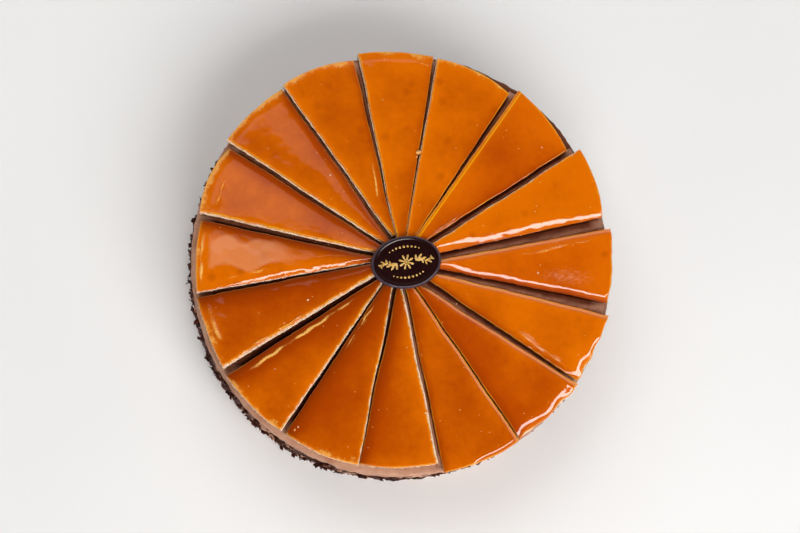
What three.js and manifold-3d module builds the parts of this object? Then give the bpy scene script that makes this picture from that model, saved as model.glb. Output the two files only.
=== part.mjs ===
// A whole Dobos torte: a round torte spread with chocolate buttercream, dark chocolate shavings
// pressed into the lower side, sixteen caramel-glazed sponge slices laid on top like the blades
// of a fan, and an oval chocolate plaque over their tips.
// Millimetres, +Z up, origin at the centre of the base. A bearing is read as on a compass, in
// degrees clockwise from +Y, and the slices are numbered that way round.
import * as THREE from "three";
import { mergeVertices } from "three/addons/utils/BufferGeometryUtils.js";
import Module from "manifold-3d";

const wasm = await Module();
wasm.setup();

// The torte under the slices. Spread by hand, it swells and hollows round the side: a swell of
// `lobes` lobes, the first of them at the bearing `toward`, adds up to `by` mm to the radius.
const torte = {
  radius: 124.7,
  height: 48,
  rimRounding: 3,
  footRounding: 2,
  segments: 90,
  swells: [
    { lobes: 1, toward: 190, by: 0.6 },
    { lobes: 2, toward: 13, by: 0.8 },
    { lobes: 4, toward: 215, by: 0.4 },
  ],
};

// A slice: a sponge layer with a caramel glaze, its counter-clockwise edge propped up on cream.
const sponge = { thickness: 5 };
const glaze = {
  thickness: 2.1,
  gap: 0.1, // to the sponge below it
  rollWidth: 6, // the glaze rolls off over this width along every edge
  rollDrop: 0.6,
  lipWidth: 0.7, // and ends in a tight lip
  lipDrop: 0.5,
  cutInset: 0.2,
  rimInset: 0.4,
};
const lean = 0.05; // rise per mm across a slice, from its clockwise to its counter-clockwise edge
const tip = { nearest: 11, width: 1.6 }; // a slice starts this far out, and at least this wide

// The cuts between the slices, in order. A cut runs along its bearing and passes the centre
// `miss` mm on the clockwise side; the slices stand `hub` mm apart at the centre, `rim` at the rim.
const cuts = [
  { bearing: 9.5, miss: -2.3, hub: 0.4, rim: 2.8 },
  { bearing: 34, miss: -3, hub: 0.4, rim: 4.4 },
  { bearing: 56.5, miss: -1, hub: 4, rim: 4 },
  { bearing: 77.5, miss: 2.5, hub: 4, rim: 8.4 },
  { bearing: 101.7, miss: 2.5, hub: 3, rim: 8.4 },
  { bearing: 122.7, miss: 5, hub: 6, rim: 2.8 },
  { bearing: 145.5, miss: 4.3, hub: 1.5, rim: 1.8 },
  { bearing: 168.5, miss: 3.5, hub: 2.2, rim: 2.8 },
  { bearing: 191.5, miss: 2, hub: 3, rim: 0.8 },
  { bearing: 213.5, miss: 2, hub: 1, rim: 3.2 },
  { bearing: 237, miss: -0.3, hub: 2.5, rim: 4.7 },
  { bearing: 258.5, miss: 1.2, hub: 1, rim: 3 },
  { bearing: 281.7, miss: -1.8, hub: 2.5, rim: 4.2 },
  { bearing: 302.7, miss: -0.5, hub: 2, rim: 3.2 },
  { bearing: 324.2, miss: 0, hub: 3, rim: 2 },
  { bearing: 347.5, miss: -2.8, hub: 0.4, rim: 3.8 },
];
// Each slice's radius at its counter-clockwise corner, its middle and its clockwise corner.
// Slice 1 lies between the last cut and the first.
const rims = [
  [126, 124.8, 124],
  [122.5, 122, 119],
  [123.5, 121.3, 118.5],
  [125, 124, 121.5],
  [124.3, 123.3, 123],
  [125, 123.7, 123.5],
  [124.5, 124, 124],
  [125, 126, 126.5],
  [120.2, 121.8, 122.4],
  [123.3, 123.7, 123.8],
  [123.7, 124, 124.5],
  [123.5, 123, 123],
  [122.5, 121.7, 120.7],
  [122.4, 123.7, 121.6],
  [125.2, 124.7, 124.3],
  [125.5, 125, 123],
];
// The sponge shows beyond the glaze along the counter-clockwise edge, most on the slices that
// face `toward`.
const reveal = { least: 0.3, most: 1.8, toward: 262 };

// Cream pressed up between two slices.
const ridge = { height: 2.4, clearance: 0.35, from: 22, to: 119, least: 0.5, stations: 4 };

const shavings = {
  seed: 2026,
  count: 280,
  length: [7, 12],
  width: [3, 5.2],
  thickness: 1,
  lowest: 3.5,
  highest: 31,
  floorGap: 0.4,
};

const plaque = {
  halfLength: 20.4,
  halfWidth: 15.3,
  thickness: 3,
  bevel: 2.2,
  bevelDrop: 1.1,
  x: 0.4,
  y: -2.3,
  turn: 10, // degrees counter-clockwise
  gap: 0.1,
  segments: 40,
};

const colours = {
  buttercream: { color: 0x9c6a4c, roughness: 0.55, metalness: 0 },
  sponge: { color: 0xe8c184, roughness: 0.85, metalness: 0 },
  caramel: { color: 0xcf6a06, roughness: 0.12, metalness: 0 },
  chocolate: { color: 0x241010, roughness: 0.3, metalness: 0 },
};

function material(name) {
  return new THREE.MeshStandardMaterial(colours[name]);
}

function ahead(bearing) {
  const angle = THREE.MathUtils.degToRad(bearing);
  return new THREE.Vector2(Math.sin(angle), Math.cos(angle));
}

// The direction a quarter turn clockwise of a bearing.
function clockwise(bearing) {
  return ahead(bearing + 90);
}

// One edge of a cut as a straight line, start + distance * step. `side` is 1 for the edge on the
// clockwise side of the cut and -1 for the other, and `inset` moves the edge away from the cut.
function cutEdge(cut, side, inset) {
  const across = clockwise(cut.bearing);
  const widening = (cut.rim - cut.hub) / 2 / torte.radius;
  return {
    start: across.clone().multiplyScalar(cut.miss + side * (cut.hub / 2 + inset)),
    step: ahead(cut.bearing).addScaledVector(across, side * widening),
  };
}

// A slice in plan. point(share, reach) runs from the counter-clockwise to the clockwise edge as
// share goes from 0 to 1, and from the tip to the rim as reach does.
function slicePlan(index, inset) {
  const before = cuts[(index + cuts.length - 1) % cuts.length];
  const after = cuts[index];
  const left = cutEdge(before, 1, inset.left);
  const right = cutEdge(after, -1, inset.right);
  const [rimLeft, rimMiddle, rimRight] = rims[index];
  const at = (edge, distance) => edge.start.clone().addScaledVector(edge.step, distance);
  const width = (distance) => at(left, distance).distanceTo(at(right, distance));
  const start = left.start.clone().sub(right.start);
  const open = right.step.clone().sub(left.step).length();
  const crossing = start.dot(right.step.clone().sub(left.step)) / open ** 2;
  const nearest = Math.max(tip.nearest, crossing + tip.width / open);

  function rimDistance(share) {
    const bulge = rimMiddle - (rimLeft + rimRight) / 2;
    const radius =
      rimLeft + (rimRight - rimLeft) * share + bulge * 4 * share * (1 - share) - inset.rim;
    const from = left.start.clone().lerp(right.start, share);
    const step = left.step.clone().lerp(right.step, share);
    const along = from.dot(step) / step.lengthSq();
    return -along + Math.sqrt(along ** 2 - (from.lengthSq() - radius ** 2) / step.lengthSq());
  }
  function distance(share, reach) {
    return nearest + (rimDistance(share) - nearest) * reach;
  }
  function point(share, reach) {
    const away = distance(share, reach);
    return at(left, away).lerp(at(right, away), share);
  }
  const middle = new THREE.Vector2()
    .addVectors(ahead(before.bearing), ahead(after.bearing))
    .normalize();
  const aside = new THREE.Vector2(-middle.y, middle.x);
  const centre = point(0.5, 0.5).dot(aside);
  const rise = (place) => lean * (place.dot(aside) - centre);
  return { point, rise, width, distance };
}

// A slab over a grid of shares and reaches, with its own height above at each place. Its
// underside is plane, so only the outline of the grid is joined up there.
function slab(plan, shares, reaches, top, bottom) {
  const columns = shares(0).length;
  const rows = reaches.length;
  const positions = [];
  for (const height of [top, bottom]) {
    for (const reach of reaches) {
      for (const share of shares(plan.width(plan.distance(0.5, reach)))) {
        const place = plan.point(share, reach);
        positions.push(place.x, place.y, height(share, reach, place));
      }
    }
  }
  const upper = (i, j) => j * columns + i;
  const lower = (i, j) => upper(i, j) + columns * rows;
  const index = [];
  const quad = (a, b, c, d) => index.push(a, b, c, a, c, d);
  for (let j = 0; j < rows - 1; j++) {
    for (let i = 0; i < columns - 1; i++) {
      quad(upper(i, j), upper(i + 1, j), upper(i + 1, j + 1), upper(i, j + 1));
    }
    quad(upper(0, j), upper(0, j + 1), lower(0, j + 1), lower(0, j));
    const last = columns - 1;
    quad(upper(last, j + 1), upper(last, j), lower(last, j), lower(last, j + 1));
    const inner = j > 0 && j < rows - 2;
    if (inner) quad(lower(0, j), lower(0, j + 1), lower(last, j + 1), lower(last, j));
  }
  const rim = rows - 1;
  for (let i = 0; i < columns - 1; i++) {
    quad(upper(i + 1, 0), upper(i, 0), lower(i, 0), lower(i + 1, 0));
    quad(upper(i, rim), upper(i + 1, rim), lower(i + 1, rim), lower(i, rim));
    index.push(lower(0, 1), lower(i + 1, 0), lower(i, 0));
    index.push(lower(0, rim - 1), lower(i, rim), lower(i + 1, rim));
  }
  index.push(lower(0, 1), lower(columns - 1, 1), lower(columns - 1, 0));
  index.push(lower(0, rim - 1), lower(columns - 1, rim), lower(columns - 1, rim - 1));
  const geometry = new THREE.BufferGeometry();
  geometry.setAttribute("position", new THREE.Float32BufferAttribute(positions, 3));
  geometry.setIndex(index);
  geometry.computeVertexNormals();
  return geometry;
}

function named(name, geometry, look) {
  const mesh = new THREE.Mesh(geometry, material(look));
  mesh.name = name;
  return mesh;
}

const twoDigits = (number) => String(number).padStart(2, "0");

// The sponge layer of a slice: flat below, leaning above.
function spongeLayer(index) {
  const plan = slicePlan(index, { left: 0, right: 0, rim: 0 });
  const shares = () => [0, 0.25, 0.5, 0.75, 1];
  const reaches = [0, 0.5, 1];
  const top = (share, reach, place) => torte.height + sponge.thickness + plan.rise(place);
  const geometry = slab(plan, shares, reaches, top, () => torte.height);
  return named(`sponge_${twoDigits(index + 1)}`, geometry, "sponge");
}

// How far the glaze has sunk at a distance from its edge: a wide roll-off and a tight lip.
function edgeDrop(distance) {
  const roll = Math.max(0, 1 - distance / glaze.rollWidth);
  const lip = Math.max(0, 1 - distance / glaze.lipWidth);
  return glaze.rollDrop * roll ** 2 + glaze.lipDrop * lip ** 2;
}

function showingSponge(bearing) {
  const facing = Math.max(0, Math.cos(THREE.MathUtils.degToRad(bearing - reveal.toward)));
  return reveal.least + (reveal.most - reveal.least) * facing ** 2;
}

// The caramel of a slice: flat below, rolled off towards its edges above.
function glazeLayer(index) {
  const before = cuts[(index + cuts.length - 1) % cuts.length];
  const inset = {
    left: showingSponge(before.bearing),
    right: glaze.cutInset,
    rim: glaze.rimInset,
  };
  const plan = slicePlan(index, inset);
  const steps = [0, glaze.lipWidth, glaze.rollWidth / 2, glaze.rollWidth];
  const widestRoll = 2 * glaze.rollWidth + 1;
  const shares = (width) => {
    const squeeze = Math.min(1, width / widestRoll);
    const near = steps.map((step) => (step * squeeze) / Math.max(width, 1e-6));
    return [...near, 0.5, ...near.map((share) => 1 - share).reverse()];
  };
  const length = plan.distance(0.5, 1) - plan.distance(0.5, 0);
  const reaches = [0, 0.12, 0.3, 0.6, ...steps.map((step) => 1 - step / length).reverse()];
  const bed = (share, reach, place) =>
    torte.height + sponge.thickness + glaze.gap + plan.rise(place);
  const top = (share, reach, place) => {
    const width = plan.width(plan.distance(share, reach));
    const edge = Math.min(share, 1 - share) * width;
    const rim = (1 - reach) * length;
    const drop = Math.max(edgeDrop(edge), edgeDrop(rim));
    return bed(share, reach, place) + glaze.thickness - drop;
  };
  return named(`caramel_${twoDigits(index + 1)}`, slab(plan, shares, reaches, top, bed), "caramel");
}

// The oval plaque: a flat disc with a bevelled edge, stretched and turned.
function chocolatePlaque(restsAt) {
  const { halfLength, thickness, bevel, bevelDrop } = plaque;
  const outline = [
    [0, 0],
    [halfLength - 0.6, 0],
    [halfLength, 0.6],
    [halfLength - 0.1, thickness - bevelDrop],
    [halfLength - bevel / 3, thickness - bevelDrop / 3],
    [halfLength - bevel, thickness],
    [0, thickness],
  ].map(([x, y]) => new THREE.Vector2(x, y));
  const geometry = new THREE.LatheGeometry(outline, plaque.segments);
  geometry.rotateX(Math.PI / 2);
  geometry.scale(1, plaque.halfWidth / halfLength, 1);
  const mesh = named("plaque", geometry, "chocolate");
  mesh.rotation.z = THREE.MathUtils.degToRad(plaque.turn);
  mesh.position.set(plaque.x, plaque.y, restsAt + plaque.gap);
  return mesh;
}

// The highest place of the glaze within the plaque's outline.
function glazeTopUnderPlaque(layers) {
  const turn = THREE.MathUtils.degToRad(plaque.turn);
  let highest = 0;
  for (const layer of layers) {
    const positions = layer.geometry.getAttribute("position");
    for (let i = 0; i < positions.count; i++) {
      const x = positions.getX(i) - plaque.x;
      const y = positions.getY(i) - plaque.y;
      const along = (x * Math.cos(turn) + y * Math.sin(turn)) / (plaque.halfLength + 2);
      const across = (y * Math.cos(turn) - x * Math.sin(turn)) / (plaque.halfWidth + 2);
      if (along ** 2 + across ** 2 < 1) highest = Math.max(highest, positions.getZ(i));
    }
  }
  return highest;
}

// A closed geometry as a solid for joining.
function solidOf(geometry) {
  const plain = geometry.clone();
  plain.deleteAttribute("normal");
  plain.deleteAttribute("uv");
  const merged = mergeVertices(plain, 1e-4);
  return new wasm.Manifold(
    new wasm.Mesh({
      numProp: 3,
      vertProperties: merged.getAttribute("position").array,
      triVerts: new Uint32Array(merged.index.array),
    }),
  );
}

function geometryOf(solid) {
  const mesh = solid.getMesh();
  const geometry = new THREE.BufferGeometry();
  geometry.setAttribute("position", new THREE.Float32BufferAttribute(mesh.vertProperties, 3));
  geometry.setIndex(new THREE.Uint32BufferAttribute(mesh.triVerts, 1));
  geometry.computeVertexNormals();
  return geometry;
}

function swell(bearing) {
  const parts = torte.swells.map(({ lobes, toward, by }) =>
    by * Math.cos(THREE.MathUtils.degToRad(lobes * (bearing - toward))));
  return parts.reduce((sum, part) => sum + part, 0);
}

// The torte itself, turned on a lathe and then swollen round the side.
function torteCore() {
  const { radius, height, rimRounding, footRounding } = torte;
  const outline = [
    [0, 0],
    [radius - footRounding, 0],
    [radius, footRounding],
    [radius, height - rimRounding],
    [radius - 0.3 * rimRounding, height - 0.3 * rimRounding],
    [radius - rimRounding, height],
    [0, height],
  ].map(([x, y]) => new THREE.Vector2(x, y));
  const geometry = new THREE.LatheGeometry(outline, torte.segments);
  geometry.rotateX(Math.PI / 2);
  const positions = geometry.getAttribute("position");
  for (let i = 0; i < positions.count; i++) {
    const x = positions.getX(i);
    const y = positions.getY(i);
    const pushed = 1 + swell(THREE.MathUtils.radToDeg(Math.atan2(x, y))) / radius;
    positions.setXY(i, x * pushed, y * pushed);
  }
  return solidOf(geometry);
}

// The cream between two slices: a low ridge that fills the cut up to just short of both.
function creamRidge(cut) {
  const gap = (distance) => cut.hub + ((cut.rim - cut.hub) * distance) / torte.radius;
  const room = (distance) => gap(distance) / 2 - ridge.clearance;
  const fits = (distance) => room(distance) >= ridge.least;
  let { from, to } = ridge;
  while (from < to && !fits(from)) from += 1;
  while (to > from && !fits(to)) to -= 1;
  if (to - from < 10) return null;
  const along = ahead(cut.bearing);
  const across = clockwise(cut.bearing);
  const positions = [];
  // Five corners: two at the foot, inside the torte, and three that make the rounded back.
  const section = (half) => [
    [-half, -1],
    [half, -1],
    [half, ridge.height * 0.75],
    [half * 0.2, ridge.height],
    [-half, ridge.height * 0.35],
  ];
  for (let station = 0; station <= ridge.stations; station++) {
    const distance = from + ((to - from) * station) / ridge.stations;
    for (const [aside, up] of section(room(distance))) {
      const place = along.clone().multiplyScalar(distance);
      place.addScaledVector(across, cut.miss + aside);
      positions.push(place.x, place.y, torte.height + up);
    }
  }
  const corners = 5;
  const index = [];
  for (let station = 0; station < ridge.stations; station++) {
    for (let corner = 0; corner < corners; corner++) {
      const a = station * corners + corner;
      const b = station * corners + ((corner + 1) % corners);
      index.push(a, b + corners, b, a, a + corners, b + corners);
    }
  }
  const end = ridge.stations * corners;
  for (let corner = 1; corner < corners - 1; corner++) {
    index.push(0, corner, corner + 1);
    index.push(end, end + corner + 1, end + corner);
  }
  const geometry = new THREE.BufferGeometry();
  geometry.setAttribute("position", new THREE.Float32BufferAttribute(positions, 3));
  geometry.setIndex(index);
  return solidOf(geometry);
}

// A small generator of repeatable random numbers from 0 to 1.
function randomFrom(seed) {
  let state = seed >>> 0;
  return () => {
    state = (Math.imul(state, 1664525) + 1013904223) >>> 0;
    return state / 4294967296;
  };
}

// One shaving: a thin plate that narrows to one end and twists, its other end sunk in the cream.
function shaving(number, random) {
  const between = ([low, high]) => low + (high - low) * random();
  const length = between(shavings.length);
  const width = between(shavings.width);
  const twist = between([-0.25, 0.25]);
  const taper = between([0.25, 0.8]);
  const swing = between([-75, 75]);
  const lift = between([3, 22]);
  const golden = 0.6180339887;
  const around = ((number + 0.6 * random()) * 360) / shavings.count;
  const level = (number * golden + 0.15 * random()) % 1;
  const height = shavings.lowest + (shavings.highest - shavings.lowest) * level ** 1.25;

  const half = shavings.thickness / 2;
  const geometry = new THREE.BoxGeometry(length, width, shavings.thickness);
  const positions = geometry.getAttribute("position");
  for (let i = 0; i < positions.count; i++) {
    const run = positions.getX(i) / length + 0.5;
    const narrowing = 1 - (1 - taper) * run;
    positions.setY(i, positions.getY(i) * narrowing);
    positions.setZ(i, positions.getZ(i) + twist * run * positions.getY(i));
  }
  geometry.translate(length * 0.18, 0, half);
  geometry.rotateY(-THREE.MathUtils.degToRad(lift));
  geometry.rotateZ(THREE.MathUtils.degToRad(90 + swing));
  // From lying on the ground facing up to standing on the torte's side facing out.
  const outward = new THREE.Vector3(ahead(around).x, ahead(around).y, 0);
  const up = new THREE.Vector3(0, 0, 1);
  const sideways = new THREE.Vector3().crossVectors(up, outward);
  geometry.applyMatrix4(new THREE.Matrix4().makeBasis(sideways, up, outward));
  const sunk = torte.radius + swell(around) - 0.8;
  geometry.translate(outward.x * sunk, outward.y * sunk, height);
  geometry.computeBoundingBox();
  const below = shavings.floorGap - geometry.boundingBox.min.z;
  if (below > 0) geometry.translate(0, 0, below);
  return solidOf(geometry);
}

function torteBody() {
  const random = randomFrom(shavings.seed);
  const pieces = [torteCore()];
  for (const cut of cuts) {
    const cream = creamRidge(cut);
    if (cream) pieces.push(cream);
  }
  for (let number = 0; number < shavings.count; number++) pieces.push(shaving(number, random));
  return named("torte_body", geometryOf(wasm.Manifold.union(pieces)), "buttercream");
}

const dobosTorte = new THREE.Group();
dobosTorte.name = "dobos_torte";
const slices = cuts.map((cut, index) => index);
const glazeLayers = slices.map(glazeLayer);
dobosTorte.add(torteBody(), ...slices.map(spongeLayer), ...glazeLayers);
dobosTorte.add(chocolatePlaque(glazeTopUnderPlaque(glazeLayers)));

export default dobosTorte;
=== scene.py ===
import math

import bmesh
import bpy
import mathutils
import numpy as np
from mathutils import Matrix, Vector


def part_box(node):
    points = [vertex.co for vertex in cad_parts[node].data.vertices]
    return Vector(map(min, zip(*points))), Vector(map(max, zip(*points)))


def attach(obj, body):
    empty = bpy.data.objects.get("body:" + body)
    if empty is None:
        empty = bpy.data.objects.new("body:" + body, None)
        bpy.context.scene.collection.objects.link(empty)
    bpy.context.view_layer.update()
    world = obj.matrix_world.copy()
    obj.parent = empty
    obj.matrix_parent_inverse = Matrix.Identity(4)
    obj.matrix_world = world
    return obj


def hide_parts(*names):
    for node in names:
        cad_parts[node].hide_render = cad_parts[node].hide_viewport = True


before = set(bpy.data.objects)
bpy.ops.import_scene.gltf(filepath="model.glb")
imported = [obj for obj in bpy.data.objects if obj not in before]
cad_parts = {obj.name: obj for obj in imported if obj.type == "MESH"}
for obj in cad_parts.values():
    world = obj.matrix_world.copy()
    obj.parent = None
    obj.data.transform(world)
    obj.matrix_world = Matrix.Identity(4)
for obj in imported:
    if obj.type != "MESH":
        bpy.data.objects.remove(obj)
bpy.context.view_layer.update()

mm = 0.001  # lengths in the dictionaries are millimetres, meshes are metres
sliceCount = 16


torte = {
    "radius": 124.7,
    "height": 48.0,
    # the side swells by `by` mm in so many lobes, the first toward a bearing
    "swells": [(1, 190, 0.6), (2, 13, 0.8), (4, 215, 0.4)],
}

fan = {
    # bearing of each cut, how far it passes the centre, and the gap at the hub and the rim
    "cuts": [
        (9.5, -2.3, 0.4, 2.8), (34, -3, 0.4, 4.4), (56.5, -1, 4, 4), (77.5, 2.5, 4, 8.4),
        (101.7, 2.5, 3, 8.4), (122.7, 5, 6, 2.8), (145.5, 4.3, 1.5, 1.8), (168.5, 3.5, 2.2, 2.8),
        (191.5, 2, 3, 0.8), (213.5, 2, 1, 3.2), (237, -0.3, 2.5, 4.7), (258.5, 1.2, 1, 3),
        (281.7, -1.8, 2.5, 4.2), (302.7, -0.5, 2, 3.2), (324.2, 0, 3, 2), (347.5, -2.8, 0.4, 3.8),
    ],
    # radius of each slice at its counter-clockwise corner, middle and clockwise corner
    "rims": [
        (126, 124.8, 124), (122.5, 122, 119), (123.5, 121.3, 118.5), (125, 124, 121.5),
        (124.3, 123.3, 123), (125, 123.7, 123.5), (124.5, 124, 124), (125, 126, 126.5),
        (120.2, 121.8, 122.4), (123.3, 123.7, 123.8), (123.7, 124, 124.5), (123.5, 123, 123),
        (122.5, 121.7, 120.7), (122.4, 123.7, 121.6), (125.2, 124.7, 124.3), (125.5, 125, 123),
    ],
    "lean": 0.05,  # rise per mm across a slice toward its counter-clockwise edge
    "tipRadius": 11.0,
    "tipWidth": 1.6,
    "wobble": 0.14,  # mm that a hand-made edge strays from its line
}


def ahead(bearing):
    # compass direction of a bearing: (sin, cos)
    angle = np.radians(bearing)
    return np.stack([np.sin(angle), np.cos(angle)], -1)


def swell(bearing):
    # sum of by * cos(lobes * (bearing - toward))
    return sum(by * np.cos(np.radians(lobes * (bearing - toward)))
               for lobes, toward, by in torte["swells"])


def ripple(points, size, seed, waves=9):
    # smooth noise of about -1..1: the mean of sines that run in random directions, each with a
    # wavelength of roughly `size`
    random = np.random.default_rng(seed)
    directions = random.normal(size=(waves, points.shape[-1]))
    directions /= np.linalg.norm(directions, axis=1, keepdims=True)
    pace = 2 * math.pi / (size * random.uniform(0.6, 1.7, waves))
    phase = random.uniform(0, 2 * math.pi, waves)
    total = np.zeros(points.shape[:-1])
    for direction, step, start in zip(directions, pace, phase):
        total += np.sin(points @ direction * step + start)
    return total / math.sqrt(waves) / 0.75


def cutEdge(cut, side, inset):
    # one side of a cut as the line start + distance * step
    bearing, miss, hub, rim = cut
    across = ahead(bearing + 90)
    start = across * (miss + side * (hub / 2 + inset))
    step = ahead(bearing) + across * side * (rim - hub) / 2 / torte["radius"]
    return start, step


class SlicePlan:
    # a slice seen from above, drawn in by `left` and `right` mm: share runs 0..1 from the
    # counter-clockwise to the clockwise edge, reach 0..1 from the tip to the rim
    def __init__(self, number, left=0.0, right=0.0):
        before, after = fan["cuts"][number - 2], fan["cuts"][number - 1]
        self.leftStart, self.leftStep = cutEdge(before, 1, left)
        self.rightStart, self.rightStep = cutEdge(after, -1, right)
        self.rims = fan["rims"][number - 1]
        apart, spread = self.leftStart - self.rightStart, self.rightStep - self.leftStep
        opening = np.linalg.norm(spread)
        self.nearest = max(fan["tipRadius"],
                           apart @ spread / opening ** 2 + fan["tipWidth"] / opening)
        middle = ahead(before[0]) + ahead(after[0])
        middle /= np.linalg.norm(middle)
        self.aside = np.array([-middle[1], middle[0]])
        self.centre = self.point(0.5, 0.5) @ self.aside

    def rimDistance(self, share):
        # where the ray start + d * step crosses the circle of the rim's radius at this share
        left, middle, right = self.rims
        bulge = middle - (left + right) / 2
        radius = left + (right - left) * share + bulge * 4 * share * (1 - share)
        start = self.leftStart + (self.rightStart - self.leftStart) * share[..., None]
        step = self.leftStep + (self.rightStep - self.leftStep) * share[..., None]
        squared = (step ** 2).sum(-1)
        along = (start * step).sum(-1) / squared
        return -along + np.sqrt(along ** 2 - ((start ** 2).sum(-1) - radius ** 2) / squared)

    def distance(self, share, reach):
        share = np.asarray(share, float)
        return self.nearest + (self.rimDistance(share) - self.nearest) * reach

    def edges(self, share, reach):
        # the points of both edges at this place's distance
        away = self.distance(share, reach)[..., None]
        return self.leftStart + self.leftStep * away, self.rightStart + self.rightStep * away

    def point(self, share, reach):
        left, right = self.edges(share, reach)
        return left + (right - left) * np.asarray(share, float)[..., None]

    def width(self, share, reach):
        left, right = self.edges(share, reach)
        return np.linalg.norm(right - left, axis=-1)

    def rise(self, points):
        return fan["lean"] * (points @ self.aside - self.centre)


def stray(points):
    # the small sideways wandering of every edge, the same for all that lies on one spot
    shift = np.stack([ripple(points, 30, 31), ripple(points, 30, 32)], -1)
    fine = np.stack([ripple(points, 5, 33), ripple(points, 5, 34)], -1)
    return points + fan["wobble"] * (shift + 0.3 * fine)


def newPiece(name, points, faces, look, replaced, smooth=50, attributes=None, turned=False):
    # points in mm and faces as one array for each count of corners; edges below `smooth` degrees
    # are shaded round, and `turned` says that all faces already point outward
    mesh = bpy.data.meshes.new(name)
    loops = np.concatenate([some.ravel() for some in faces])
    totals = np.concatenate([np.full(len(some), some.shape[1]) for some in faces])
    starts = np.concatenate([[0], np.cumsum(totals)[:-1]])
    mesh.vertices.add(len(points))
    mesh.vertices.foreach_set("co", (points * mm).ravel())
    mesh.loops.add(len(loops))
    mesh.loops.foreach_set("vertex_index", loops.astype(np.int32))
    mesh.polygons.add(len(totals))
    mesh.polygons.foreach_set("loop_start", starts.astype(np.int32))
    mesh.update(calc_edges=True)
    for key, values in (attributes or {}).items():
        channel = mesh.attributes.new(key, "FLOAT", "POINT")
        channel.data.foreach_set("value", values.astype(np.float32).ravel())
    mesh.validate()
    if not turned:
        shells = bmesh.new()
        shells.from_mesh(mesh)
        bmesh.ops.recalc_face_normals(shells, faces=shells.faces)
        shells.to_mesh(mesh)
        shells.free()
    mesh.polygons.foreach_set("use_smooth", np.ones(len(mesh.polygons), bool))
    if smooth < 180:
        mesh.set_sharp_from_angle(angle=math.radians(smooth))
    mesh.materials.append(look)
    piece = bpy.data.objects.new(name, mesh)
    bpy.context.scene.collection.objects.link(piece)
    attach(piece, "root")
    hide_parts(*replaced)


def gridFaces(rows, columns, closed=False):
    # quads of a rows x columns grid of vertices, whose last column may join its first
    i, j = np.meshgrid(np.arange(rows - 1), np.arange(columns if closed else columns - 1),
                       indexing="ij")
    k = (j + 1) % columns
    quads = np.stack([i * columns + j, (i + 1) * columns + j,
                      (i + 1) * columns + k, i * columns + k], -1)
    return quads.reshape(-1, 4)


def shellFaces(rings, around):
    # quads that join rings of `around` vertices, and the fans that close them on two poles, the
    # vertices after the rings
    j = np.arange(around)
    k = (j + 1) % around
    last, pole = (rings - 1) * around, np.full(around, rings * around)
    fans = [np.stack([pole, k, j], -1), np.stack([pole + 1, last + j, last + k], -1)]
    return [gridFaces(rings, around, closed=True)[:, ::-1], np.concatenate(fans)]


def border(rows, columns):
    # the grid's outline, walked once round: along row 0, the last column, the last row back
    top = np.arange(columns)
    side = np.arange(1, rows) * columns + columns - 1
    back = (rows - 1) * columns + np.arange(columns - 2, -1, -1)
    return np.concatenate([top, side, back, np.arange(rows - 2, 0, -1) * columns])


def joined(parts):
    # several (points, faces) as one
    points, faces, count = [], [], 0
    for some, loops in parts:
        points.append(some)
        faces.extend(loop + count for loop in loops)
        count += len(some)
    return np.concatenate(points), faces


class Flow:
    # a node's output, so that sums and masks read as Python
    def __init__(self, look, socket):
        self.look, self.socket = look, socket

    def maths(self, operation, other):
        return self.look.node("ShaderNodeMath", {"operation": operation}, {0: self, 1: other})

    def __add__(self, other):
        return self.maths("ADD", other)

    def __sub__(self, other):
        return self.maths("SUBTRACT", other)

    def __rsub__(self, other):
        return self * -1 + other

    def __mul__(self, other):
        return self.maths("MULTIPLY", other)

    __radd__ = __add__
    __rmul__ = __mul__

    def step(self, low, high):
        # 0 below low, 1 above high and smooth between; falls where low is the larger
        return self.look.node("ShaderNodeMapRange", {"interpolation_type": "SMOOTHSTEP"},
                              {"Value": self, "From Min": low, "From Max": high})

    def paint(self, under, over):
        # the colour `under` where this mask is 0 and `over` where it is 1
        return self.look.node("ShaderNodeMix", {"data_type": "RGBA"},
                              {0: self, 6: under, 7: over}, 2)


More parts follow.
